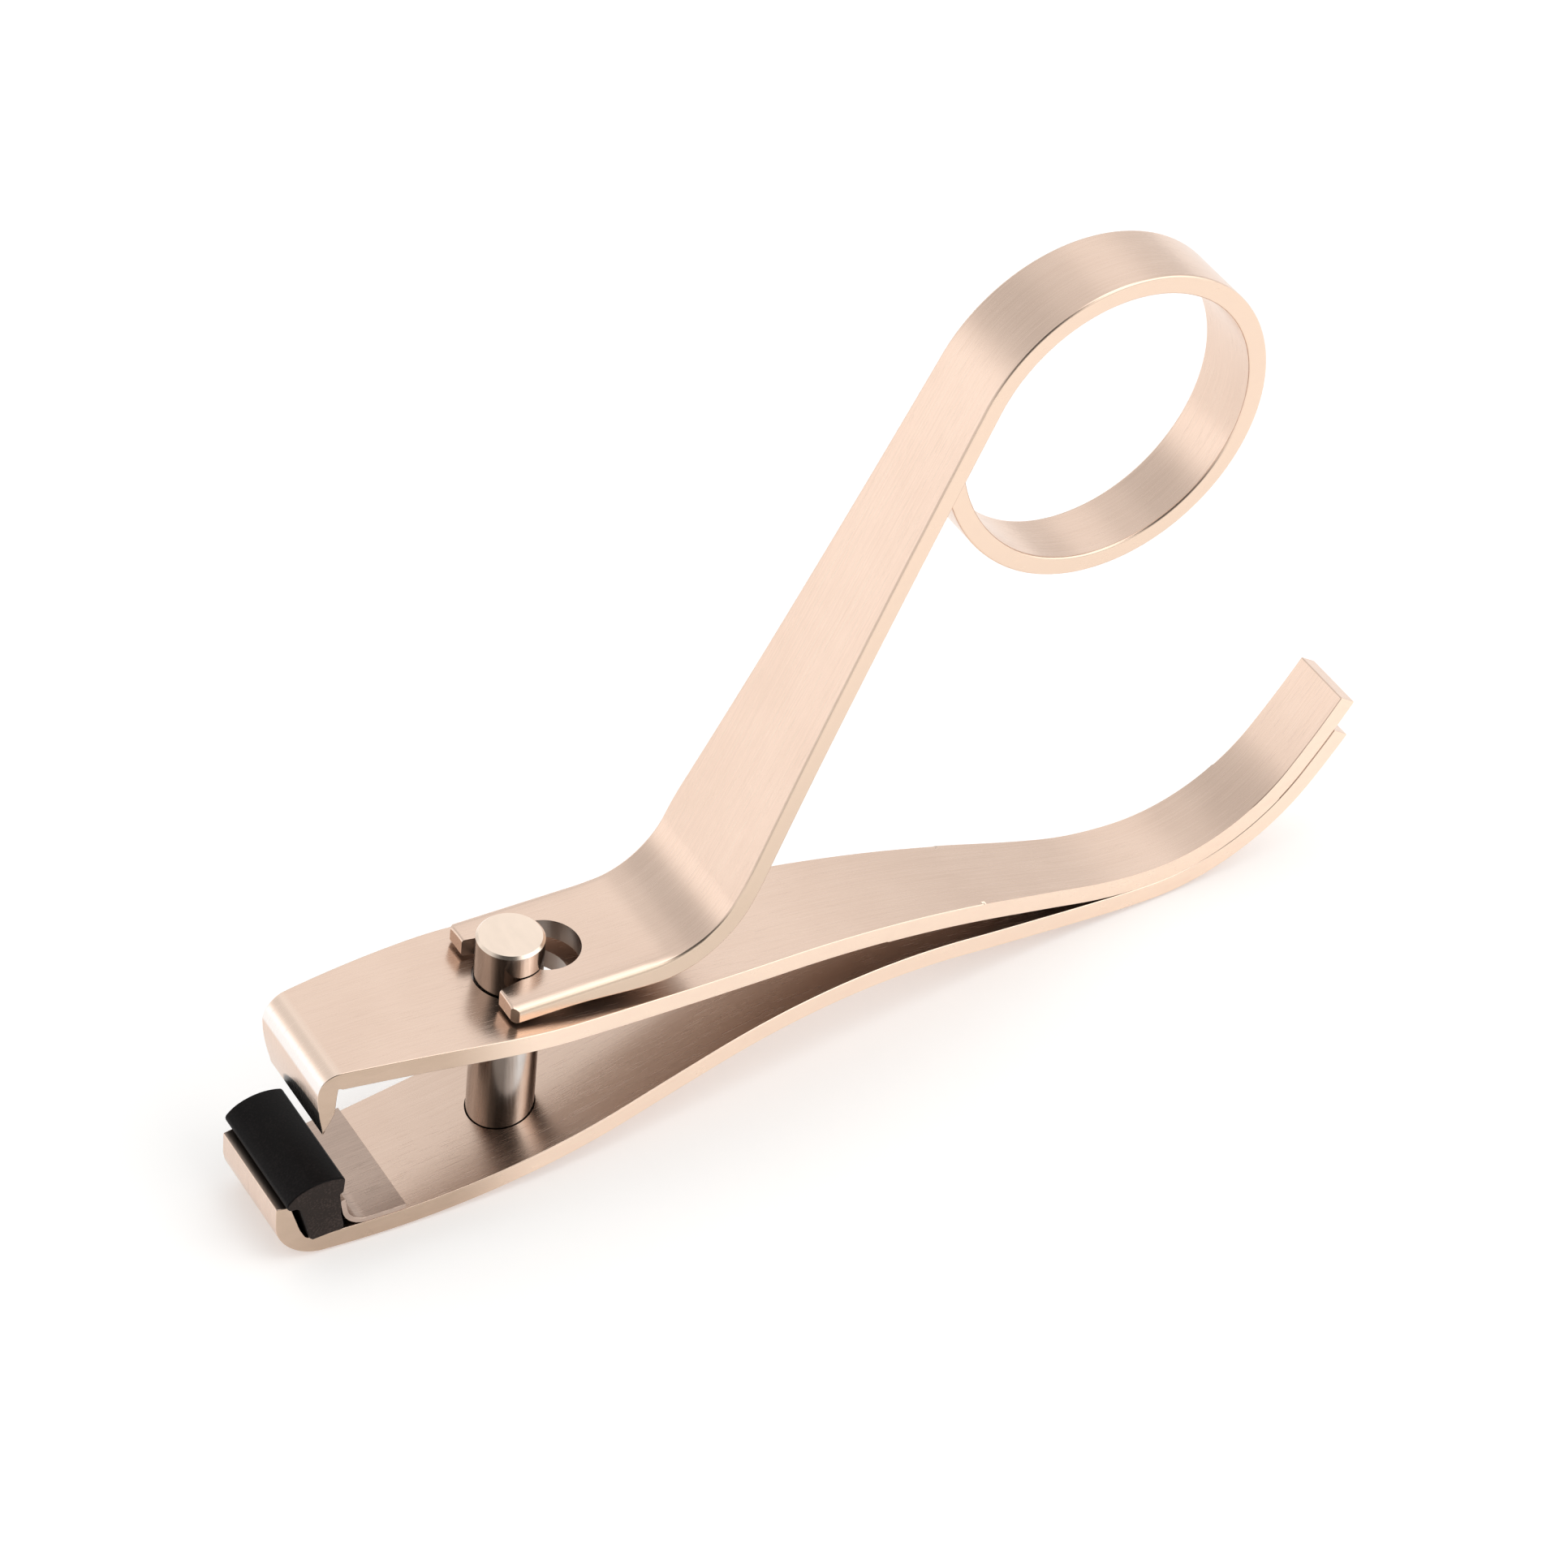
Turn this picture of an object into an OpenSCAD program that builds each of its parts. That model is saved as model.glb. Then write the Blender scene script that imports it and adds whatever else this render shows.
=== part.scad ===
// Leaf-spring nail clipper with a ring lever.
//
// Everything is drawn in the pin's own frame: the pin stands along Z through
// x = 0, y = 0, the jaws point to -X and the welded tail to +X. place() then
// leans the whole clipper onto the two spots it rests on, so that z = 0 is
// the table and the origin is the middle of its footprint.
//
// A curve is a list of [length, turn] stretches, each one arc (turn in
// degrees, left positive), traced into states [x, z, heading].

/* [Leaves] */
// Thickness of both spring leaves
leaf_t = 1.75; // [1.5:0.05:1.9]
// Distance of the weld's front end from the pin
weld_x = 59.8; // [58:0.2:62]
// Height of the upper leaf's top at the weld's front end
weld_z = 6.05; // [5:0.05:7]
// Heading of the leaves at the weld's front end
weld_heading = 0.2; // [-1:0.1:1]
// Where the spring's bending is gathered into one flex line
flex_x = 50; // [46:1:54]

/* [Jaws] */
// Outer radius of the bend above the blade
blade_bend_r = 2.0; // [1.9:0.05:2.4]
// Height of the cutting edge
edge_z = 8.75; // [8.7:0.05:9.1]
// Half length of the cutting edge
edge_half = 4.5; // [4.2:0.05:4.7]
// Foremost face of the lower jaw's lip
lip_x = -22.15; // [-23:0.05:-21.8]
// Top of the lower jaw's lip
lip_top = 2.4; // [2:0.1:2.5]
// Outer radius of the bend under the lip
lip_r = 3.75; // [3:0.05:4]
// Half length of the anvil block
anvil_half = 5.6; // [5:0.1:6]
// Thickness of the anvil's retaining plate
retainer_t = 0.5; // [0.4:0.05:0.6]

/* [Pin] */
// Radius of the pin
pin_r = 2.75; // [2.6:0.05:2.75]
// Height of the pin's top
pin_top = 18.9; // [18.5:0.1:20]
// Radius of the foot under the lower leaf
foot_r = 3.7; // [3.4:0.1:3.8]
// Half width left between the two notches that take the fork
neck_half = 2.0; // [1.8:0.05:2.05]
// Radial clearance of the pin in the lower leaf
pin_clear = 0.09; // [0.05:0.01:0.1]

/* [Lever] */
// Thickness of the lever's strip
lever_t = 1.65; // [1.5:0.05:1.65]
// Height of the fork's top face
fork_top = 16.62; // [16.62:0.02:16.8]
// Length of the flat fork
fork_len = 12.9; // [12:0.1:13.5]
// Radius of the heel's bend, on its upper face
heel_r = 7.05; // [6.5:0.05:8]
// How much thicker the heel is underneath
heel_pad = 0.55; // [0:0.05:0.7]
// How far the shank rises from the fork
heel_turn = 64.3; // [60:0.1:66]
// Length of the straight shank
shank_len = 45.25; // [42:0.25:48]
// Outer radius of the finger ring
ring_r = 14.0; // [13.5:0.1:14.5]
// Arc of the finger ring before it opens out
ring_turn = 282; // [280:1:284]

/* [Stance] */
// Lean of the pin when the clipper rests on a table
lean = 4.14; // [4:0.01:4.3]

/* [Hidden] */
$fn = 96;
step = 3;            // degrees between points of a traced arc
reach = 60;          // long enough to cut right across any piece

steel = [0.90, 0.77, 0.69];
pin_steel = [0.80, 0.70, 0.63];
black = [0.09, 0.08, 0.08];

// The leaves' side views, front to back
upper_front = [[17.5, -7.2], [22.5, 2.3], [22.5, -10.2], [7.5, 1.3], [7.5, 13.3]];
floor_run = [3.8, 1.2];
plate_run = [3.3, 1.3];
lower_rest = [[2.9, 1.2], [16.8, 8.2], [8.4, -0.8], [25, -22.3], [8.4, 1.5], [10.5, 6.9]];
tail = [[15, 52.3], [7.5, 5.5]];
lower_tail = [[15, 52.3], [4.6, 3.4]];

// The leaves' edges in plan, from the front: [x, half width, heading] and arcs
upper_edge_start = [-19.4, 4.75, 9.5];
upper_edge = [[9.5, -2], [5, -1.5], [8, -10.2], [45, 0], [8, 3.6], [25, 0]];
lower_edge_start = [-22.6, 4.7, 9.5];
lower_edge = [[13.5, -6], [9, -3], [8, -4.4], [40, 0], [8, 3.4], [25, 0]];

// The lever's edge against height, from the fork to the ring
lever_edge_start = [14, 5.55, 3];
lever_edge = [[6.5, 0], [3, -8], [14, 1.5], [27, 1.5]];
ring_half = [3.62, 3.12, 2.45];   // at the start, the far side and the end
ring_tail = [11.1, -38.8];        // the last stretch, opening out to the shank

// The fork's slot and keyhole
keyhole_x = 3.15;
keyhole_r = 2.9;
slot_half = 2.1;
fork_tip_x = -2.53;

// The pin's levels
foot_bottom = -1.5;
foot_top = -0.8;
notch_bottom = 13.95;

// ---- tracing --------------------------------------------------------------

function last(list) = list[len(list) - 1];
function reversed(list) = [for (i = [len(list) - 1:-1:0]) list[i]];
function turns(items) = len(items) == 0 ? 0 : [for (i = items) 1] * [for (i = items) i[1]];

// Points of one arc after state s
function arc(s, length, turn) =
    let (n = max(1, ceil(abs(turn) / step)))
    [for (i = [1:n])
        let (a = turn * i / n,
             run = turn == 0 ? length * i / n : 2 * length / turn * 180 / PI * sin(a / 2))
        [s[0] + run * cos(s[2] + a / 2), s[1] + run * sin(s[2] + a / 2), s[2] + a]];

function trace(s, items, i = 0) =
    i == len(items) ? [s]
    : let (points = arc(s, items[i][0], items[i][1]))
      concat([s], [for (j = [0:1:len(points) - 2]) points[j]],
             trace(last(points), items, i + 1));

// The same, placed so that it ends at the state goal
function trace_to(goal, items) =
    let (raw = trace([0, 0, goal[2] - turns(items)], items), end = last(raw))
    [for (s = raw) [s[0] + goal[0] - end[0], s[1] + goal[1] - end[1], s[2]]];

// A state moved to its right by depth
function beside(s, depth) = [s[0] + depth * sin(s[2]), s[1] - depth * cos(s[2])];
function offset_line(states, depth) = [for (s = states) beside(s, depth)];

// Outline of a strip that lies from depth to depth + t beside its states
function strip(states, t, depth = 0) =
    concat(offset_line(states, depth), reversed(offset_line(states, depth + t)));

// Both edges of a symmetric blank from its one traced edge
function blank(states) =
    concat([for (s = states) [s[0], s[1]]],
           [for (s = reversed(states)) [s[0], -s[1]]]);

function circle_points(c, r, from, to) =
    let (n = max(2, ceil(abs(to - from) / step)))
    [for (i = [0:n]) let (a = from + (to - from) * i / n) c + r * [cos(a), sin(a)]];

// ---- the leaves' lines ------------------------------------------------------

weld = [weld_x, weld_z, weld_heading];
weld_under = concat(beside(weld, leaf_t), [weld_heading]);

upper_line = trace_to(weld, upper_front);
tail_line = trace(weld, tail);
lower_line = trace_to(weld_under, concat([floor_run, plate_run], lower_rest));
lower_tail_line = [for (s = trace(weld, lower_tail)) concat(beside(s, leaf_t), [s[2]])];

floor_start = lower_line[0];
plate_line = trace(trace(floor_start, [floor_run])[1], [plate_run]);

// ---- the table --------------------------------------------------------------

function on_table(p) = [p[0] * cos(lean) + p[1] * sin(lean), p[1] * cos(lean) - p[0] * sin(lean)];

lip_centre = [lip_x + lip_r, floor_start[1] - leaf_t + lip_r];
front_x = on_table(lip_centre)[0] - lip_r;
back_x = on_table(beside(last(tail_line), leaf_t))[0];
base_x = (front_x + back_x) / 2;
base_z = min([for (p = offset_line(concat(lower_line, lower_tail_line), leaf_t)) on_table(p)[1]]);

module place() {
    translate([-base_x, 0, -base_z]) rotate([0, lean, 0]) children();
}

// ---- building blocks --------------------------------------------------------

// A side view [x, z], extruded across the clipper
module across(outline, half = reach) {
    rotate([90, 0, 0]) linear_extrude(2 * half, center = true) polygon(outline);
}

// A plan view [x, y], extruded along the pin
module upright(outline, low = -reach / 3, high = reach) {
    translate([0, 0, low]) linear_extrude(high - low) polygon(outline);
}

// A front view [z, half width], extruded lengthwise
module lengthwise(outline) {
    rotate([0, -90, 0]) linear_extrude(4 * reach, center = true) polygon(outline);
}

module slab(x_low, x_high) {
    translate([x_low, -reach, -reach]) cube([x_high - x_low, 2 * reach, 3 * reach]);
}

// ---- the leaves -------------------------------------------------------------

module upper_blank() {
    upright(blank(trace(upper_edge_start, upper_edge)));
}

module lower_blank() {
    upright(blank(trace(lower_edge_start, lower_edge)));
}

// The blade: the upper leaf's front, bent down and ground to an edge
module blade() {
    top = upper_line[0];
    centre = beside(top, blade_bend_r);
    inner_r = blade_bend_r - leaf_t + 0.25;
    inner = beside(top, leaf_t + inner_r);
    edge_x = -18.2;
    knee = [-17.36, 10.96];        // where the inner face turns in to the edge
    corner_z = 12.2;
    run = edge_x - centre[0] + blade_bend_r;
    front = [for (i = [1:5]) let (z = centre[1] + (edge_z - centre[1]) * i / 5)
        [centre[0] - blade_bend_r + run * pow(i / 5, 1.6), z]];
    corner_r = (pow(4.9 - edge_half, 2) + pow(corner_z - edge_z, 2)) / (2 * (4.9 - edge_half));
    corner_turn = asin((corner_z - edge_z) / corner_r);
    corner = [for (p = circle_points([4.9 - corner_r, corner_z], corner_r, 0, -corner_turn)) [p[1], p[0]]];
    intersection() {
        across(concat(
            circle_points(centre, blade_bend_r, 90 + top[2], 180),
            front, [knee],
            circle_points(inner, inner_r, 178, 90 + top[2])));
        lengthwise(concat([[pin_top, 4.9]], corner,
            [for (p = reversed(corner)) [p[0], -p[1]]], [[pin_top, -4.9]]));
    }
}

module upper_leaf_jaw() {
    slot_r = pin_r + 0.15;
    slot_rear = 2.2;
    color(steel) place() difference() {
        union() {
            intersection() {
                across(strip(concat(upper_line, tail_line), leaf_t));
                upper_blank();
                slab(-reach, flex_x - 0.05);
            }
            blade();
        }
        translate([0, 0, edge_z]) cylinder(r = slot_r, h = pin_top);
        translate([slot_rear, 0, edge_z]) cylinder(r = slot_r, h = pin_top);
        translate([0, -slot_r, edge_z]) cube([slot_rear, 2 * slot_r, pin_top]);
    }
}

module upper_leaf_tail() {
    color(steel) place() intersection() {
        across(strip(concat(upper_line, [for (i = [1:len(tail_line) - 1]) tail_line[i]]), leaf_t));
        upper_blank();
        slab(flex_x + 0.05, 2 * reach);
    }
}

// The lip in front of the anvil
module lip() {
    floor_z = floor_start[1];
    across(concat(
        [[floor_start[0], floor_z]],
        circle_points([-19.4, floor_z + 0.4], 0.4, 270, 195),
        [[-20.95, lip_top - 0.12], [-21.1, lip_top], [lip_x + 0.25, lip_top],
         [lip_x, lip_top - 0.25]],
        circle_points(lip_centre, lip_r, 180, 270),
        [beside(floor_start, leaf_t)]));
}

module lower_leaf() {
    color(steel) place() difference() {
        intersection() {
            union() {
                across(strip(concat(lower_line,
                    [for (i = [1:len(lower_tail_line) - 1]) lower_tail_line[i]]), leaf_t));
                lip();
            }
            lower_blank();
        }
        translate([0, 0, -reach]) cylinder(r = pin_r + pin_clear, h = 2 * reach);
        translate([0, 0, foot_top + 0.05 - reach]) cylinder(r = foot_r + 0.25, h = reach);
    }
}

// ---- the anvil and its plate --------------------------------------------------

// Mushroom section: the leg sits between lip and plate, the head lies over both
module anvil() {
    floor_z = floor_start[1] + 0.03;
    head = trace([-20.75, 2.6, 175], [[0.4, 0], [1.1, -125], [1.3, -25], [3.7, -45],
                                      [0.5, -75], [1.15, 0]]);
    color(black) place() across(concat(
        [[-19.3, floor_z], [-19.55, floor_z + 0.25], [-20.5, 2.35]],
        [for (s = head) [s[0], s[1]]],
        [[-17.0, 2.65], [-16.85, 0.6], [-16.6, -0.6], [-16.6, floor_z + 0.3],
         [-16.9, floor_z + 0.15]]), anvil_half);
}

module anvil_retainer() {
    curl = trace_to(plate_line[0], [[1.3, 4], [2.95, 83]]);
    color(steel) place() intersection() {
        across(strip(concat(curl, [for (i = [1:len(plate_line) - 1]) plate_line[i]]),
                     retainer_t, -retainer_t));
        lower_blank();
    }
}

// ---- the pin ------------------------------------------------------------------

module pin() {
    chamfer = 0.22;
    notch_x = -0.5;
    color(pin_steel) place() difference() {
        rotate_extrude() polygon([
            [0, foot_bottom], [foot_r - chamfer, foot_bottom], [foot_r, foot_bottom + chamfer],
            [foot_r, foot_top], [pin_r, foot_top], [pin_r, pin_top - chamfer],
            [pin_r - chamfer, pin_top], [0, pin_top]]);
        for (side = [-1, 1]) {
            translate([notch_x, side > 0 ? neck_half : -neck_half - pin_r, notch_bottom])
                cube([2 * pin_r, pin_r, fork_top + 0.03 - notch_bottom]);
        }
    }
}

// ---- the lever ------------------------------------------------------------------

fork_start = [fork_tip_x, fork_top, 0];
lever_line = trace(fork_start, concat([for (i = [1:12]) [fork_len / 12, 0]],
    [[heel_r * heel_turn * PI / 180, heel_turn], [shank_len, 0]]));
// The heel is left thicker underneath, where it bears on the upper leaf
function pad_at(x) = x < 2 || x > 19 ? 0 : heel_pad * pow(sin((x - 2) / 17 * 180), 2);
lever_under = [for (s = lever_line) beside(s, lever_t + pad_at(s[0]))];
ring_start = last(lever_line);
ring_centre = beside(ring_start, ring_r);
ring_end = last(trace(ring_start, [[ring_r * ring_turn * PI / 180, -ring_turn]]));

// Frame at the ring's centre: X away from the shank, Y along it, Z across
module at_ring() {
    translate([ring_centre[0], 0, ring_centre[1]])
        rotate([0, 90 - ring_start[2], 0]) rotate([90, 0, 0]) children();
}

module ring_wall() {
    gap = 360 - ring_turn;
    difference() {
        cylinder(r = ring_r, h = reach, center = true);
        cylinder(r = ring_r - lever_t, h = 2 * reach, center = true);
        linear_extrude(2 * reach, center = true) polygon(concat(
            [[0, 0]], circle_points([0, 0], reach, 180, 180 + gap)));
    }
}

// Half of the ring's blank, tapering from one half width to the next
module taper(from, to, side) {
    far = ring_r + 4;
    rotate([90, 0, 0]) translate([0, 0, side > 0 ? -reach : 0])
        linear_extrude(reach) polygon([[-far, -from], [far, -to], [far, to], [-far, from]]);
}

module ring() {
    intersection() {
        union() {
            at_ring() ring_wall();
            across(strip(trace(ring_end, [ring_tail]), lever_t));
        }
        at_ring() union() {
            taper(ring_half[0], ring_half[1], 1);
            taper(ring_half[2], ring_half[1], -1);
        }
    }
}

// The fork's slot, open at the tips and closing on the pin's notches
module fork_slot() {
    upright(blank([[fork_tip_x - 1, 3.35], [-0.2, 2.78], [0.2, slot_half],
                   [keyhole_x, slot_half]]), notch_bottom - 2, pin_top);
    translate([keyhole_x, 0, notch_bottom - 2]) cylinder(r = keyhole_r, h = pin_top);
}

module lever() {
    tip_corner = 0.5;
    tip = fork_tip_x;
    color(steel) place() {
        difference() {
            intersection() {
                across(concat(offset_line(lever_line, 0), reversed(lever_under)));
                lengthwise(blank(trace(lever_edge_start, lever_edge)));
                upright(blank([[tip, 5.6 - tip_corner], [tip + tip_corner, 5.7],
                               [2 * reach, 5.7 + reach / 20]]), 0, 2 * reach);
            }
            intersection() {
                fork_slot();
                translate([-reach / 2, -reach / 2, 0]) cube([reach, reach, fork_top + 1]);
            }
        }
        ring();
    }
}

lower_leaf();
upper_leaf_jaw();
upper_leaf_tail();
lever();
pin();
anvil();
anvil_retainer();
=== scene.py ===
"""Leaf-spring nail clipper with a ring lever, drawn in the pin's own frame and set on its table."""

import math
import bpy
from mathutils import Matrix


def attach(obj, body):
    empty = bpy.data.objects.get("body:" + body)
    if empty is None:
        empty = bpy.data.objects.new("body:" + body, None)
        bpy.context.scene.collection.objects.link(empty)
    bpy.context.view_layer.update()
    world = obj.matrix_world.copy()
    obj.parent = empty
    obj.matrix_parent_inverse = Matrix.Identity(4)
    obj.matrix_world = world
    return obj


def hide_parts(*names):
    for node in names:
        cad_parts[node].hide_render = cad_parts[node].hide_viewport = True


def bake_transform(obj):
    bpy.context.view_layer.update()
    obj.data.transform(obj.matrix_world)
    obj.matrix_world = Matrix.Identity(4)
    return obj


bl_info = {
    "name": "Ring-lever nail clipper",
    "version": (1, 0, 0),
    "blender": (4, 5, 0),
    "location": "3D View > Sidebar > Clipper",
    "description": "Builds the visible pieces of a ring-lever nail clipper around its frame",
    "category": "Object",
}

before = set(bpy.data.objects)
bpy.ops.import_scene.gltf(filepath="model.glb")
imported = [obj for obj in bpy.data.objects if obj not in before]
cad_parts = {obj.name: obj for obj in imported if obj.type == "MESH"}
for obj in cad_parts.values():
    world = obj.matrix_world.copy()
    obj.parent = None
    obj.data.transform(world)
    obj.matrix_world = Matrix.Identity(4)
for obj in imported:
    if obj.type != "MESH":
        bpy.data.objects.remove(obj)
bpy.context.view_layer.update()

import bmesh
import bpy
from bpy.props import FloatProperty, FloatVectorProperty, IntProperty, PointerProperty
from bpy.types import Operator, Panel, PropertyGroup
from mathutils import Matrix, Vector

MM = 0.001

# Side views as [length, turn] arcs in millimetres and degrees, left turns positive
UPPER_FRONT = [(17.5, -7.2), (22.5, 2.3), (22.5, -10.2), (7.5, 1.3), (7.5, 13.3)]
UPPER_TAIL = [(15, 52.3), (7.5, 5.5)]
LOWER_FRONT = [(3.8, 1.2), (3.3, 1.3), (2.9, 1.2), (16.8, 8.2), (8.4, -0.8), (25, -22.3),
               (8.4, 1.5), (10.5, 6.9)]
LOWER_TAIL = [(15, 52.3), (4.6, 3.4)]
PLATE_CURL = [(1.3, 4), (2.95, 83)]
PLATE_FLAT = [(3.3, 1.3)]
RING_END = [(11.1, -38.8)]

# Places along the clipper and heights over the pin's base
EDGE_X = -18.2
FORK_TIP_X = -2.53
NOTCH_FLOOR = 13.95

# Faces round the pin and its holes
ROUND = 96

# Plan edges: the first (x, half width, heading), then arcs
UPPER_EDGE = ((-19.4, 4.75, 9.5), [(9.5, -2), (5, -1.5), (8, -10.2), (45, 0), (8, 3.6), (25, 0)])
LOWER_EDGE = ((-22.6, 4.7, 9.5), [(13.5, -6), (9, -3), (8, -4.4), (40, 0), (8, 3.4), (25, 0)])
# The lever's edge against height
LEVER_EDGE = ((14, 5.55, 3), [(6.5, 0), (3, -8), (14, 1.5), (27, 1.5)])


# ---- sizes and colours ----------------------------------------------------------

def length(name, description, value):
    return FloatProperty(name=name, description=description, default=value * MM,
                         precision=5, subtype="DISTANCE", unit="LENGTH")


def tint(name, description, value):
    return FloatVectorProperty(name=name, description=description, default=value, size=3,
                               min=0, max=1, subtype="COLOR")


class ClipperSizes(PropertyGroup):
    """Sizes of the clipper"""
    leaf_t: length("Leaf thickness", "Thickness of both spring leaves", 1.75)
    weld_x: length("Weld distance", "Distance of the weld's front end from the pin", 59.8)
    weld_z: length("Weld height", "Height of the upper leaf at the weld's front end", 6.05)
    bend_r: length("Blade bend", "Outer radius of the bend above the blade", 2.0)
    edge_z: length("Edge height", "Height of the cutting edge over the pin's base", 8.75)
    edge_half: length("Edge half length", "Half length of the cutting edge", 4.5)
    lip_x: length("Lip place", "Foremost face of the lower jaw's lip", -22.15)
    lip_top: length("Lip height", "Top of the lower jaw's lip", 2.4)
    lip_r: length("Lip bend", "Outer radius of the bend under the lip", 3.75)
    anvil_half: length("Anvil half length", "Half length of the anvil block", 5.6)
    plate_t: length("Plate thickness", "Thickness of the anvil's retaining plate", 0.5)
    pin_r: length("Pin radius", "Radius of the pin", 2.75)
    pin_top: length("Pin height", "Height of the pin's top", 18.9)
    foot_r: length("Foot radius", "Radius of the pin's foot under the lower leaf", 3.7)
    neck_half: length("Neck", "Half width left between the pin's notches", 2.0)
    lever_t: length("Lever thickness", "Thickness of the lever's strip", 1.65)
    fork_top: length("Fork height", "Height of the fork's top face", 16.62)
    fork_len: length("Fork length", "Length of the flat fork", 12.9)
    heel_pad: length("Heel pad", "How much thicker the heel is underneath", 0.55)
    heel_r: length("Heel radius", "Radius of the heel's bend on its upper face", 7.05)
    shank_len: length("Shank length", "Length of the straight shank", 45.25)
    ring_r: length("Ring radius", "Outer radius of the finger ring", 14.0)
    heel_turn: FloatProperty(name="Heel turn", description="How far the shank rises from the fork",
                             default=math.radians(64.3), subtype="ANGLE", unit="ROTATION")
    ring_turn: FloatProperty(name="Ring turn", description="Arc of the ring before it opens out",
                             default=math.radians(282), subtype="ANGLE", unit="ROTATION")
    lean: FloatProperty(name="Lean", description="Lean of the pin on the table",
                        default=math.radians(4.14), subtype="ANGLE", unit="ROTATION")
    base_x: length("Footprint middle", "Middle of the footprint, from the pin", 28.7772)
    base_z: length("Table depth", "The table's depth under the pin's base", 1.82303)
    columns: IntProperty(name="Columns", description="Faces across a strip", default=14, min=4)


class ClipperColours(PropertyGroup):
    """Colours of the clipper"""
    steel: tint("Steel", "Rose-gold steel", (0.82, 0.635, 0.525))
    steel_deep: tint("Steel grain", "The darker lines of the brushing", (0.75, 0.57, 0.465))
    # Painted shade and light on the leaves' sheared sides: darker at the jaws, lighter behind
    side_front: tint("Jaws' sides", "Sheared sides of the leaves in front", (0.56, 0.42, 0.32))
    side_rear: tint("Leaves' sides", "Sheared sides of the leaves behind", (0.96, 0.765, 0.62))
    # Painted shade and light on the lever's sheared sides: darker low down, lighter high up
    side_low: tint("Heel's sides", "Sheared sides of the lever, low down", (0.70, 0.55, 0.43))
    side_high: tint("Shank's sides", "Sheared sides of the lever, high up", (0.88, 0.68, 0.54))
    # Painted highlight along the blade's bend, and a warm painted sheen beside it
    bright: tint("Worn bend", "Steel rubbed bright along the blade's bend", (0.90, 0.85, 0.82))
    rubbed: tint("Rubbed bend", "Steel beside the worn band", (1.0, 0.80, 0.67))
    # Painted shade: a darker copy of the steel for undersides and the walls of holes
    inner: tint("Inner steel", "Dull steel inside the spring", (0.42, 0.355, 0.315))
    plate: tint("Plate steel", "Steel of the anvil's plate", (0.56, 0.43, 0.36))
    pin: tint("Pin steel", "Polished steel of the pin", (0.50, 0.42, 0.37))
    # Painted reflections on the pin's side: a highlight and a dark reflection
    pin_bright: tint("Pin highlight", "The pin's bright stripe", (0.76, 0.72, 0.69))
    pin_dark: tint("Pin stripe", "The pin's dark stripe", (0.21, 0.17, 0.145))
    pin_top_tint: tint("Pin top", "The pin's faced top", (0.92, 0.77, 0.65))
    # Painted reflection: the blade's ground face is coloured dark
    ground: tint("Ground bevel", "The dark ground face of the blade", (0.040, 0.028, 0.022))
    anvil: tint("Anvil", "Matt black of the anvil block", (0.0045, 0.0035, 0.0035))
    anvil_cut: tint("Anvil cut", "Cut ends of the anvil block", (0.028, 0.020, 0.017))
    floor: tint("Table", "The pale table", (0.92, 0.915, 0.91))


# ---- tracing --------------------------------------------------------------------

def step_on(state, run, turn):
    """The state (x, z, heading in degrees) after one arc"""
    x, z, heading = state
    middle = math.radians(heading + turn / 2)
    chord, bend = run, math.radians(turn)
    if abs(turn) >= 1e-6:
        chord = 2 * run / bend * math.sin(bend / 2)
    return (x + chord * math.cos(middle), z + chord * math.sin(middle), heading + turn)


def split(path, longest, widest):
    """The same arcs cut into short stretches"""
    for run, turn in path:
        parts = max(1, math.ceil(run / longest), math.ceil(abs(turn) / widest))
        for _ in range(parts):
            yield run / parts, turn / parts


def walk(state, path, longest=0.5, widest=2.5):
    """The states along a path, in steps no longer than longest nor wider than widest"""
    states = [state]
    for run, turn in split(path, longest, widest):
        states.append(step_on(states[-1], run, turn))
    return states


def walk_to(goal, path, **fineness):
    """Walks the path so that it ends at the goal"""
    raw = walk((0, 0, goal[2] - sum(turn for _, turn in path)), path, **fineness)
    dx, dz = goal[0] - raw[-1][0], goal[1] - raw[-1][1]
    return [(x + dx, z + dz, h) for x, z, h in raw]


def beside(state, depth):
    """The state moved to its right by depth"""
    x, z, h = state
    return (x + depth * math.sin(math.radians(h)), z - depth * math.cos(math.radians(h)), h)


def edge_half(edge):
    """A function of the half width along a traced edge"""
    points = [(x, y) for x, y, _ in walk(edge[0], edge[1])]

    def half(at):
        if at <= points[0][0]:
            slope = math.tan(math.radians(edge[0][2]))
            return points[0][1] + slope * (at - points[0][0])
        for (x0, y0), (x1, y1) in zip(points, points[1:]):
            if at <= x1:
                return y0 + (y1 - y0) * (at - x0) / (x1 - x0)
        return points[-1][1]
    return half


def arc_points(centre, radius, start, end, step):
    """Points on a circle from start to end, in degrees"""
    parts = max(2, math.ceil(abs(end - start) / step))
    angles = [math.radians(start + (end - start) * i / parts) for i in range(parts + 1)]
    return [(centre[0] + radius * math.cos(a), centre[1] + radius * math.sin(a)) for a in angles]


def resample(points, count):
    """Evenly spaced points along a line, ends kept"""
    reach = [0.0]
    for a, b in zip(points, points[1:]):
        reach.append(reach[-1] + math.dist(a, b))
    result = []
    for i in range(count):
        at = reach[-1] * i / (count - 1)
        k = max(0, min(len(points) - 2, sum(r <= at for r in reach) - 1))
        share = (at - reach[k]) / (reach[k + 1] - reach[k])
        result.append(tuple(a + (b - a) * share for a, b in zip(points[k], points[k + 1])))
    return result


def mirrored(outline):
    """The same outline on the other side, drawn the same way round"""
    return [(x, -y) for x, y in reversed(outline)]


# ---- strips -----------------------------------------------------------------------

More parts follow.
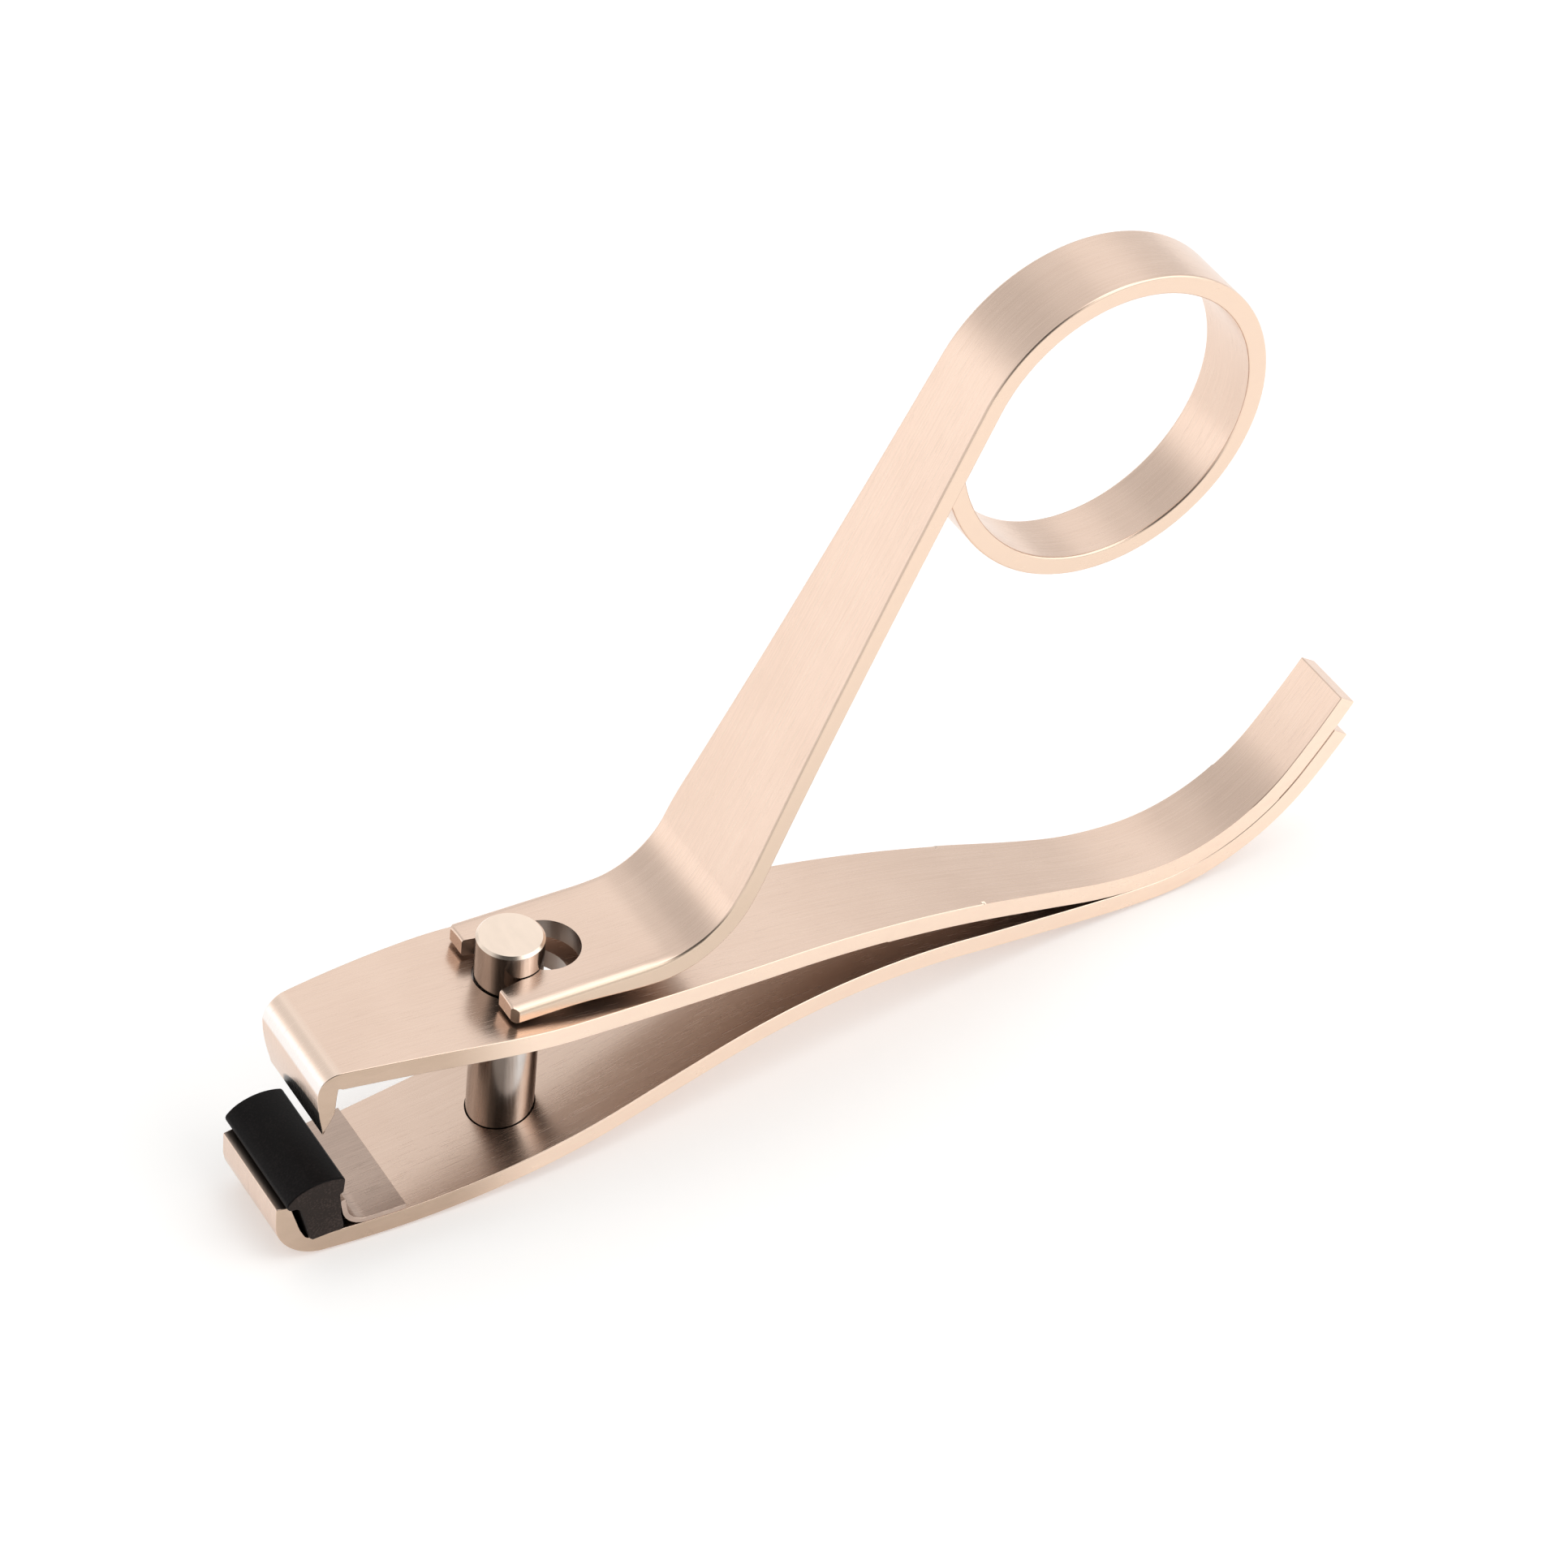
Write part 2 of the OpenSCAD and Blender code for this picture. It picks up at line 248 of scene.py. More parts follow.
def frame_at(state, thickness, half):
    """Turns a unit grid into the strip's section at this state"""
    x, z, h = state
    a = math.radians(h)
    out = Vector((-math.sin(a), 0, math.cos(a)))
    place = Vector((x, 0, z)) - out * thickness / 2
    return Matrix(((0, out.x * thickness, math.cos(a), place.x),
                   (2 * half, 0, 0, place.y),
                   (0, out.z * thickness, math.sin(a), place.z),
                   (0, 0, 0, 1)))


def strip(bm, states, thickness, half, columns):
    """Sweeps a rectangular section along the states; half gives the half width of each.
    Returns the vertices of each section."""
    grid = bmesh.ops.create_grid(bm, x_segments=columns, y_segments=1, size=0.5)
    verts = grid["verts"]
    widths = [half(i, state) for i, state in enumerate(states)]
    thick = thickness if callable(thickness) else (lambda i, state: thickness)
    here = frame_at(states[0], thick(0, states[0]), widths[0])
    bmesh.ops.transform(bm, matrix=here, verts=verts)
    faces = list({f for v in verts for f in v.link_faces})
    sections = [verts]
    for i, state in enumerate(states[1:], 1):
        grown = bmesh.ops.extrude_face_region(bm, geom=faces)
        if i > 1:
            bmesh.ops.delete(bm, geom=faces, context="FACES")
        verts = [g for g in grown["geom"] if isinstance(g, bmesh.types.BMVert)]
        faces = [g for g in grown["geom"] if isinstance(g, bmesh.types.BMFace)]
        there = frame_at(state, thick(i, state), widths[i])
        bmesh.ops.transform(bm, matrix=there @ here.inverted(), verts=verts)
        here = there
        sections.append(verts)
    bmesh.ops.recalc_face_normals(bm, faces=bm.faces)
    return sections


def prism(bm, outline, low, high, axis="Y"):
    """Extrudes an outline: [x, z] along Y, or [x, y] along Z"""
    def point(p, level):
        return (p[0], level, p[1]) if axis == "Y" else (p[0], p[1], level)
    face = bm.faces.new([bm.verts.new(point(p, low)) for p in outline])
    grown = bmesh.ops.extrude_face_region(bm, geom=[face])
    verts = [g for g in grown["geom"] if isinstance(g, bmesh.types.BMVert)]
    offset = (0, high - low, 0) if axis == "Y" else (0, 0, high - low)
    bmesh.ops.translate(bm, vec=offset, verts=verts)
    bmesh.ops.recalc_face_normals(bm, faces=bm.faces)


def drill(bm, x, radius, low, high):
    """A round cutter along the pin's direction"""
    place = Matrix.Translation((x, 0, (low + high) / 2))
    bmesh.ops.create_cone(bm, cap_ends=True, cap_tris=False, segments=ROUND, radius1=radius,
                          radius2=radius, depth=high - low, matrix=place)


def round_edges(bm, width, segments=3, skip=None):
    """Rounds every sharp edge that skip doesn't leave out"""
    bm.normal_update()
    limit = math.radians(32)
    edges = [e for e in bm.edges if e.is_manifold and e.calc_face_angle(0) > limit
             and not (skip and skip(e))]
    bmesh.ops.bevel(bm, geom=edges, offset=width, offset_type="OFFSET", segments=segments,
                    profile=0.5, affect="EDGES", clamp_overlap=False, material=-1)
    bmesh.ops.recalc_face_normals(bm, faces=bm.faces)


def raw_object(name, bm):
    """An object of the bmesh, in millimetres along the pin's own directions"""
    mesh = bpy.data.meshes.new(name)
    bm.to_mesh(mesh)
    bm.free()
    piece = bpy.data.objects.new(name, mesh)
    bpy.context.scene.collection.objects.link(piece)
    return piece


def cut(piece, cutters):
    """Takes each cutter out of the piece"""
    for build in cutters:
        bm = bmesh.new()
        build(bm)
        tool = raw_object("cutter", bm)
        modifier = piece.modifiers.new("cut", "BOOLEAN")
        modifier.operation, modifier.solver, modifier.object = "DIFFERENCE", "EXACT", tool
        bake_modifiers(piece)
        bpy.data.objects.remove(tool)


def shade_walls(piece, index, chosen):
    """Gives a material to the faces chosen by their middle and normal"""
    for polygon in piece.data.polygons:
        if chosen(polygon.center, polygon.normal):
            polygon.material_index = index


def bake_modifiers(piece):
    """Puts the modifiers' result into the piece's mesh"""
    bpy.context.view_layer.update()
    graph = bpy.context.evaluated_depsgraph_get()
    mesh = bpy.data.meshes.new_from_object(piece.evaluated_get(graph), depsgraph=graph)
    piece.modifiers.clear()
    old, piece.data = piece.data, mesh
    bpy.data.meshes.remove(old)


def paint(piece, *materials):
    for material in materials:
        piece.data.materials.append(material)


def standing(lean, base_x, base_z):
    """Turns places along the pin into places over the table, both in millimetres"""
    return Matrix.Translation((-base_x, 0, base_z)) @ Matrix.Rotation(lean, 4, "Y")


def finish_piece(piece):
    """Shades the piece and sets it on the table"""
    piece.data.shade_smooth()
    piece.data.set_sharp_from_angle(angle=math.radians(34))
    weigh = piece.modifiers.new("weigh", "WEIGHTED_NORMAL")
    weigh.mode, weigh.weight, weigh.keep_sharp = "FACE_AREA", 60, True
    bake_modifiers(piece)
    sizes = bpy.context.scene.clipper_sizes
    piece.data.transform(standing(sizes.lean, sizes.base_x, sizes.base_z) @ Matrix.Scale(MM, 4))


# ---- materials ---------------------------------------------------------------------

class Wire:
    """A socket that takes part in shader maths"""

    def __init__(self, tree, socket):
        self.tree, self.socket = tree, socket

    def node(self, kind, settings=None, inputs=None, output=0):
        """Adds any node: its settings first, then values or links of its sockets"""
        made = self.tree.nodes.new(kind)
        for key, value in (settings or {}).items():
            if key == "stops":
                ramp = made.color_ramp
                while len(ramp.elements) < len(value):
                    ramp.elements.new(0.5)
                for element, (position, colour) in zip(ramp.elements, value):
                    element.position, element.color = position, (*colour, 1)
            else:
                setattr(made, key, value)
        for key, value in (inputs or {}).items():
            if isinstance(value, Wire):
                self.tree.links.new(value.socket, made.inputs[key])
            else:
                made.inputs[key].default_value = value
        return Wire(self.tree, made.outputs[output])

    def maths(self, operation, *values):
        return self.node("ShaderNodeMath", {"operation": operation}, dict(enumerate(values)))

    def vector(self, operation, other, output=0):
        """Output 0 is the new vector, output 1 a number such as a length"""
        return self.node("ShaderNodeVectorMath", {"operation": operation},
                         {0: self, 1: tuple(other)}, output=output)

    def axis(self, index):
        return self.node("ShaderNodeSeparateXYZ", {}, {0: self}, output=index)

    def dot(self, direction):
        return self.vector("DOT_PRODUCT", direction, output=1)

    def __add__(self, other):
        return self.maths("ADD", self, other)

    def __radd__(self, other):
        return self.maths("ADD", other, self)

    def __sub__(self, other):
        return self.maths("SUBTRACT", self, other)

    def __rsub__(self, other):
        return self.maths("SUBTRACT", other, self)

    def __mul__(self, other):
        return self.maths("MULTIPLY", self, other)

    def __rmul__(self, other):
        return self.maths("MULTIPLY", other, self)

    def __truediv__(self, other):
        return self.maths("DIVIDE", self, other)

    def between(self, low, high):
        """0 below low, 1 above high, smooth between"""
        return self.node("ShaderNodeMapRange", {"interpolation_type": "SMOOTHSTEP"},
                         {"Value": self, "From Min": low, "From Max": high})

    def noise(self, scale, per_axis=(1, 1, 1), detail=2.0, shift=(0, 0, 0)):
        """Cloudy noise, finer along the axes with the larger scales"""
        placed = self.node("ShaderNodeMapping", {}, {"Vector": self, "Location": shift,
                                                     "Scale": per_axis})
        return self.node("ShaderNodeTexNoise", {}, {"Vector": placed, "Scale": scale,
                                                    "Detail": detail, "Roughness": 0.55})

    def blend_to(self, first, second):
        """Mixes two colours by this mask"""
        return self.node("ShaderNodeMix", {"data_type": "RGBA"},
                         {0: self, 6: first, 7: second}, output=2)


def new_material(name, metallic=0.0):
    """A material, its shader, and the place and facing that its patterns read"""
    material = bpy.data.materials.new(name)
    material.use_nodes = True
    tree = material.node_tree
    shader = next(n for n in tree.nodes if n.type == "BSDF_PRINCIPLED")
    shader.inputs["Metallic"].default_value = metallic
    reads = tree.nodes.new("ShaderNodeTexCoord").outputs
    return material, shader, Wire(tree, reads["Object"]), Wire(tree, reads["Normal"])


def link(wire, shader, socket):
    wire.tree.links.new(wire.socket, shader.inputs[socket])


def raise_surface(height, shader, strength, distance=0.00002):
    """Bumps the surface by a height"""
    link(height.node("ShaderNodeBump", {}, {"Strength": strength, "Distance": distance,
                                            "Height": height}), shader, "Normal")


def sheared(facing):
    """1 on the cut sides of a strip"""
    return facing.maths("ABSOLUTE", facing.axis(1)).between(0.35, 0.75)


def sheared_grain(place):
    """Scratches across the thickness of a strip's cut sides"""
    return place.noise(1.0, (500, 60, 1600), detail=3.0, shift=(2, 3, 4))


def brushed_steel(name, light, deep, rough, grain, patches=()):
    """Satin steel, brushed lengthwise: grain is fine across and long along the strip.
    Each patch gives a mask and the colour it takes there."""
    material, shader, place, facing = new_material(name, metallic=1.0)
    side = sheared(facing)
    brushed = place.noise(1.0, (110, 9000, 110), detail=3.0)
    streaks = brushed + (sheared_grain(place) - brushed) * side
    hairlines = place.noise(1.0, (260, 21000, 260), shift=(3, 1, 7))
    fine = 0.5 + (hairlines - 0.5) * (1 - side)
    clouds = place.noise(130.0, detail=3.0, shift=(1, 5, 2))
    nicks = place.noise(1.0, (420, 15000, 420), detail=0.0, shift=(9, 2, 4))
    scratch = nicks.between(0.70, 0.78) * (1 - side)
    tone = (streaks * 0.55 + fine * 0.25 + clouds * 0.5).between(0.42, 0.86)
    colour = tone.blend_to((*deep, 1), (*light, 1))
    # The patches paint highlights, reflections and shade over the steel's colour
    for patch in patches:
        mask, there = patch(place, facing)
        colour = mask.blend_to(colour, there)
    link(colour, shader, "Base Color")
    link(rough + (streaks - 0.5) * 0.12 + (clouds - 0.5) * 0.06 + scratch * 0.08,
         shader, "Roughness")
    raise_surface(streaks * 0.7 + fine * 0.45 - scratch * 0.5, shader, grain)
    return material


def side_shade_patch(axis, low, high, near, far):
    """Painted shade on the sheared sides, from near to far along an axis, over their scratched
    grain
    """
    def patch(place, facing):
        mixed = place.axis(axis).between(low, high).blend_to((*near, 1), (*far, 1))
        return sheared(facing) * (0.72 + 0.5 * sheared_grain(place)), mixed
    return patch


def resting(place):
    """The point's place at rest, which a bent piece carries along"""
    return place.node("ShaderNodeAttribute", {"attribute_name": "rest_place"}, output=1)


def bend_highlight_patch(centre, radius, heading, inner, outer, colour):
    """A painted highlight: a band along a bend, as wide as the outer angle and full within the
    inner one
    """
    turn = math.radians(heading)

    def patch(place, facing):
        arm = resting(place).vector("MULTIPLY", (1, 0, 1)).vector("SUBTRACT", centre)
        reach = arm.node("ShaderNodeVectorMath", {"operation": "LENGTH"}, {0: arm}, output=1)
        along = arm.dot((-math.sin(turn), 0, math.cos(turn)))
        near = 1 - reach.between(radius * 1.1, radius * 1.3)
        band = (along / reach).between(math.cos(math.radians(outer)),
                                       math.cos(math.radians(inner)))
        return band * near * (1 - sheared(facing)), (*colour, 1)
    return patch


def ground_reflection_patch(base, axis, middle, width, height, colour):
    """Painted dark reflection on the ground face above the cutting edge, with its rounded far end
    """
    def patch(place, facing):
        place = resting(place)
        rise = place.vector("SUBTRACT", base).dot(axis)
        far = place.maths("MAXIMUM", place.axis(1) - middle, 0.0) / width
        up = rise / height
        inside = 1 - (far * far + up * up).between(0.90, 1.06)
        front = (0 - facing.axis(0)).between(0.3, 0.6)
        ahead = 1 - place.axis(0).between(-0.042, -0.040)
        return inside * front * ahead * rise.between(-0.0003, -0.0001), (*colour, 1)
    return patch


def pin_reflection_steel(name, colour, bright, dark, right):
    """The pin's polished side with painted reflections: a dark reflection facing forward and a
    painted highlight to its right
    """
    material, shader, place, facing = new_material(name, metallic=1.0)
    streaks = place.noise(1.0, (3200, 3200, 120), detail=3.0)
    # The ramp paints the reflections by which way the side faces against right
    across = facing.dot(right) * 0.5 + 0.5 + (streaks - 0.5) * 0.05
    stops = [(0.0, colour), (0.24, colour), (0.36, dark), (0.54, dark), (0.66, colour),
             (0.76, bright), (0.80, bright), (0.87, colour), (1.0, dark)]
    tone = across.node("ShaderNodeValToRGB", {"stops": stops}, {"Fac": across})
    shade = (streaks * 0.7 + place.noise(300.0, detail=3.0) * 0.5).between(0.35, 0.75)
    dulled = tone.node("ShaderNodeMix", {"data_type": "RGBA", "blend_type": "MULTIPLY"},
                       {0: (1 - shade) * 0.35, 6: tone, 7: (0.4, 0.36, 0.33, 1)}, output=2)
    link(dulled, shader, "Base Color")
    link(0.19 + (streaks - 0.5) * 0.16, shader, "Roughness")
    raise_surface(streaks, shader, 0.12)
    return material


def darker(colour, share):
    return tuple(c * share for c in colour)


def polished_steel(name, colour, rough):
    """Turned steel with faint rings round the pin"""
    material, shader, place, _ = new_material(name, metallic=1.0)
    rings = place.noise(1.0, (200, 200, 9000))
    clouds = place.noise(300.0, detail=3.0)
    tone = (rings * 0.5 + clouds * 0.5).between(0.3, 0.7)
    deep = darker(colour, 0.9)
    link(tone.blend_to((*deep, 1), (*colour, 1)), shader, "Base Color")
    link(rough + (rings - 0.5) * 0.08 + (clouds - 0.5) * 0.05, shader, "Roughness")
    raise_surface(rings, shader, 0.05)
    return material


def dull_block(name, colour, speck, rough):
    """Matt moulded block with a fine speckle"""
    material, shader, place, _ = new_material(name)
    grit = place.noise(5200.0)
    clouds = place.noise(420.0, detail=3.0, shift=(4, 4, 1))
    lit = tuple(min(1, c * speck) for c in colour)
    mask = (grit * 0.6 + clouds * 0.4).between(0.46, 0.66)
    link(mask.blend_to((*colour, 1), (*lit, 1)), shader, "Base Color")
    link(rough + (clouds - 0.5) * 0.15 + (grit - 0.5) * 0.12, shader, "Roughness")
    raise_surface(grit * 0.7 + clouds * 0.6, shader, 0.35, distance=0.00003)
    shader.inputs["Specular IOR Level"].default_value = 0.10
    return material


def shared(name, *look):
    """One brushed steel for every piece that asks for it by this name"""
    return bpy.data.materials.get(name) or brushed_steel(name, *look)


# Painted shade on the leaves' sheared sides, darker at the jaws
def leaf_side_shade(tints):
    return side_shade_patch(0, -0.037, -0.028, tints.side_front, tints.side_rear)


def leaf_steel():
    tints = bpy.context.scene.clipper_colours
    p = plan()
    x, z, _ = beside(p.upper[0], p.bend_r)
    centre, radius = on_table(p, x, 0, z), p.bend_r * MM
    upwards = (math.sin(p.lean), 0, math.cos(p.lean))
    # Painted sheen and painted highlight along the blade's bend
    patches = (bend_highlight_patch(centre, radius, 27, 14, 32, tints.rubbed),
               bend_highlight_patch(centre, radius, 62, 12, 24, tints.bright),
               # Painted dark reflection on the blade's ground face
               ground_reflection_patch(on_table(p, EDGE_X, 0, p.edge_z), upwards,
                           -3.5 * MM, 5.7 * MM, 2.95 * MM, tints.ground),
               # Painted shade on the sheared sides
               leaf_side_shade(tints))
    return shared("leaf steel", tints.steel, tints.steel_deep, 0.25, 0.22, patches)


# Painted shade: the darker steel for faces under the leaf and the lever and for the walls of their
# holes
def painted_shade_steel():
    tints = bpy.context.scene.clipper_colours
    return shared("inner steel", tints.inner, darker(tints.inner, 0.85), 0.36, 0.25)


def lip_steel():
    tints = bpy.context.scene.clipper_colours
    # The lip's sheared sides take the same painted shade
    return shared("lip steel", tints.steel, tints.steel_deep, 0.24, 0.03, (leaf_side_shade(tints),))


def plate_steel():
    tints = bpy.context.scene.clipper_colours
    return shared("plate steel", tints.plate, darker(tints.plate, 0.8), 0.26, 0.3)


def lever_steel():
    tints = bpy.context.scene.clipper_colours
    # Painted shade on the lever's sheared sides, darker low down and lighter high up
    side = side_shade_patch(2, 0.014, 0.052, tints.side_low, tints.side_high)
    return shared("lever steel", tints.steel, tints.steel_deep, 0.25, 0.20, (side,))


# ---- the pieces ----------------------------------------------------------------------

class Plan:
    """The clipper's lines in millimetres, worked out once from the sizes"""

    def __init__(self, sizes):
        for key in ClipperSizes.__annotations__:
            value = getattr(sizes, key)
            is_length = key not in ("heel_turn", "ring_turn", "lean", "columns")
            setattr(self, key, value / MM if is_length else value)
        weld = (self.weld_x, self.weld_z, 0.2)
        under = beside(weld, self.leaf_t)
        self.upper = walk_to(weld, UPPER_FRONT)
        self.upper_tail = walk(weld, UPPER_TAIL)
        self.lower = walk_to(under, LOWER_FRONT)
        self.lower_tail = [beside(s, self.leaf_t) for s in walk(weld, LOWER_TAIL)]
        self.floor_start = self.lower[0]
        self.plate_start = step_on(self.floor_start, *LOWER_FRONT[0])


def plan():
    return Plan(bpy.context.scene.clipper_sizes)


def on_table(p, x, y, z):
    """A place along the pin, as metres over the table"""
    return tuple(standing(p.lean, p.base_x, p.base_z) @ Vector((x, y, z)) * MM)


def add_piece(piece, body, nodes):
    """Rides the piece on its body, if it has only one, in place of its nodes"""
    if body:
        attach(piece, body)
    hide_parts(*nodes)


class ClipperUpperLeaf(Operator):
    """The upper leaf: one strip with the blade at its front and the pin's slot"""
    bl_idname = "clipper.upper_leaf"
    bl_label = "Upper leaf"

    def execute(self, context):
        p = plan()
        half = edge_half(UPPER_EDGE)
        line = p.upper + p.upper_tail[1:]
        # The bend above the blade, walked from the blade's front up onto the leaf
        top = line[0]
        bend = walk_to(top, [(p.bend_r * math.radians(90 - top[2]), top[2] - 90)],
                       longest=0.3, widest=4)
        rows = 11
        blade_rows = [(bend[0][0], p.edge_z + (bend[0][1] - p.edge_z) * i / rows, 90.0)
                      for i in range(rows)]
        states = blade_rows + bend[:-1] + line
        front = len(blade_rows)
        bm = bmesh.new()
        sections = strip(bm, states, p.leaf_t,
                         lambda i, s: half(max(s[0], -18.5)), p.columns)
        self.grind(bm, p, sections[:front + 1], bend[0])
        round_edges(bm, 0.11, 3, skip=lambda e: max(v.co.z for v in e.verts) < p.edge_z + 0.7)
        # Painted shade: the leaf's underside takes the darker steel
        bm.normal_update()
        for face in bm.faces:
            middle = face.calc_center_median()
            if face.normal.z < -0.6 and -16 < middle.x < p.weld_x - 1:
                face.material_index = 1
        piece = raw_object("upper_leaf", bm)
        paint(piece, leaf_steel(), painted_shade_steel())
        slot_r, slot_end = p.pin_r + 0.15, 2.2
        low, high = p.edge_z, p.pin_top + 1
        walls = [(0, -slot_r), (slot_end, -slot_r), (slot_end, slot_r), (0, slot_r)]
        cut(piece, [lambda c: drill(c, 0, slot_r, low, high),
                    lambda c: drill(c, slot_end, slot_r, low, high),
                    lambda c: prism(c, walls, low, high, "Z")])
        # Painted shade on the slot's walls
        shade_walls(piece, 1, lambda c, n: -3 < c.x < 5.4 and abs(c.y) < 3.1 and abs(n.z) < 0.5)
        finish_piece(piece)
        rest = piece.data.attributes.new("rest_place", "FLOAT_VECTOR", "POINT")
        for vertex, entry in zip(piece.data.vertices, rest.data):
            entry.vector = vertex.co
        add_piece(piece, None, ("upper_leaf_jaw", "upper_leaf_tail"))
        on_table(p, 58, 0, 5)
        on_table(p, 42, 0, 5)
        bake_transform(piece)
        return {"FINISHED"}

    @staticmethod
    def grind(bm, p, sections, bend_start):
        """Thins the blade to its edge and rounds its lower corners"""
        knee_x, knee_z, corner_z, sharp = -17.36, 10.96, 12.2, 0.03
        start_x, start_z, _ = bend_start
        drop = start_z - p.edge_z
        for row, verts in enumerate(sections[:-1]):
            full = max(abs(v.co.y) for v in verts)
            share = row / (len(sections) - 1)
            z = p.edge_z + drop * share
            narrow = max(0.0, (corner_z - z) / (corner_z - p.edge_z))
            half = full - (full - p.edge_half) * narrow * narrow
            front = start_x + (EDGE_X - sharp - start_x) * (1 - share) ** 1.6
            if z < knee_z:
                back = (EDGE_X + sharp
                        + (knee_x - EDGE_X - sharp) * (z - p.edge_z) / (knee_z - p.edge_z))
            else:
                rise = (z - knee_z) / (start_z - knee_z)
                back = knee_x + (start_x + p.leaf_t - knee_x) * rise ** 2
            for v in verts:
                outer = v.co.x < start_x + p.leaf_t / 2
                v.co = Vector((front if outer else back, v.co.y / full * half, z))


class ClipperLowerLeaf(Operator):
    """The lower leaf: one strip with its front bent up into a lip"""
    bl_idname = "clipper.lower_leaf"
    bl_label = "Lower leaf"

    def execute(self, context):
        p = plan()
        half = edge_half(LOWER_EDGE)
        floor_z = p.floor_start[1]
        start = p.floor_start
        centre = (p.lip_x + p.lip_r, floor_z - p.leaf_t + p.lip_r)
        # The lip's two faces, outer then inner, from its top down to the floor
        outer = [(p.lip_x, p.lip_top)] + [(p.lip_x, p.lip_top + (centre[1] - p.lip_top) * i / 3)
                                          for i in (1, 2)]
        outer += arc_points(centre, p.lip_r, 180, 270, 4.5)
        inner_x, chamfer = -20.95, 0.14
        inner = [(-21.1, p.lip_top), (inner_x, p.lip_top - chamfer)]
        inner += [(inner_x + s, p.lip_top - chamfer + (floor_z + 0.55 - p.lip_top) * s)
                  for s in (0.2, 0.4, 0.6, 0.8)]
        inner += arc_points((-19.4, floor_z + 0.4), 0.4, 195, 270, 7.5)
        inner.append((start[0], floor_z))
        count = len(outer)
        inner = resample(inner, count)
        # The lip's sections start bunched at the floor's front end, and then take their places
        bunched = [(start[0] - 0.01 * (count - i), start[1], start[2]) for i in range(count)]
        bm = bmesh.new()
        sections = strip(bm, bunched + p.lower[1:] + p.lower_tail[1:], p.leaf_t,
                         lambda i, s: half(s[0]), p.columns)
        for row, verts in enumerate(sections[:count]):
            for v in verts:
                side = v.co.y / half(bunched[row][0])
                upper = v.co.z > start[1] - p.leaf_t / 2
                x, z = inner[row] if upper else outer[row]
                v.co = Vector((x, side * half(x), z))
        round_edges(bm, 0.11, 3)
        bm.normal_update()
        # Painted shade: the lip's inner and top faces above the floor take the dark third steel,
        # for the shade and the anvil's dark reflection between lip and anvil
        for face in bm.faces:
            middle = face.calc_center_median()
            if middle.x < start[0] + 0.05:
                facing_in = face.normal.x > 0.25 or face.normal.z > 0.8
                inside = (facing_in and abs(face.normal.y) < 0.5
                          and middle.z > floor_z + 0.3)
                face.material_index = 2 if inside else 1
        piece = raw_object("lower_leaf_strip", bm)
        # The third steel is dark: painted shade and reflection between the lip and the anvil
        paint(piece, leaf_steel(), lip_steel(),
              polished_steel("lip inside", (0.34, 0.27, 0.23), 0.30))
        hole = p.pin_r + 0.09
        cut(piece, [lambda c: drill(c, 0, hole, -8, 8),
                    lambda c: drill(c, 0, p.foot_r + 0.25, -8, -0.75)])
        finish_piece(piece)
        add_piece(piece, "spring_base", ("lower_leaf",))
        return {"FINISHED"}


class ClipperAnvil(Operator):
    """The anvil block and the plate that keeps it"""
    bl_idname = "clipper.anvil"
    bl_label = "Anvil and plate"

    def execute(self, context):
        p = plan()
        floor_z = p.floor_start[1] + 0.03
        head = walk((-20.75, 2.6, 175), [(0.4, 0), (1.1, -125), (1.3, -25), (3.7, -45),
                                         (0.5, -75), (1.15, 0)], longest=0.4, widest=8)
        outline = [(-19.3, floor_z), (-19.55, floor_z + 0.25), (-20.5, 2.35)]
        outline += [(x, z) for x, z, _ in head]
        outline += [(-17.0, 2.65), (-16.85, 0.6), (-16.6, -0.6), (-16.6, floor_z + 0.3),
                    (-16.9, floor_z + 0.15)]
        bm = bmesh.new()
        prism(bm, outline, -p.anvil_half, p.anvil_half)
        round_edges(bm, 0.14, 3, skip=lambda e: abs(e.verts[0].co.y - e.verts[1].co.y) > 1)
        bm.normal_update()
        for face in bm.faces:
            face.material_index = 1 if abs(face.normal.y) > 0.9 else 0
        piece = raw_object("anvil_block", bm)
        tints = context.scene.clipper_colours
        paint(piece, dull_block("anvil block", tints.anvil, 2.4, 0.42),
              dull_block("anvil cut end", tints.anvil_cut, 2.2, 0.6))
        finish_piece(piece)
        add_piece(piece, "spring_base", ("anvil",))

        half = edge_half(LOWER_EDGE)
        curl = walk_to(p.plate_start, PLATE_CURL, longest=0.3, widest=6)
        flat = walk(p.plate_start, PLATE_FLAT)
        bm = bmesh.new()
        line = [beside(s, -p.plate_t) for s in curl + flat[1:]]
        strip(bm, line, p.plate_t, lambda i, s: half(s[0]) - 0.04, p.columns)
        round_edges(bm, 0.09, 3)
        plate = raw_object("retaining_plate", bm)
        paint(plate, plate_steel())
        finish_piece(plate)
        add_piece(plate, "spring_base", ("anvil_retainer",))
        return {"FINISHED"}


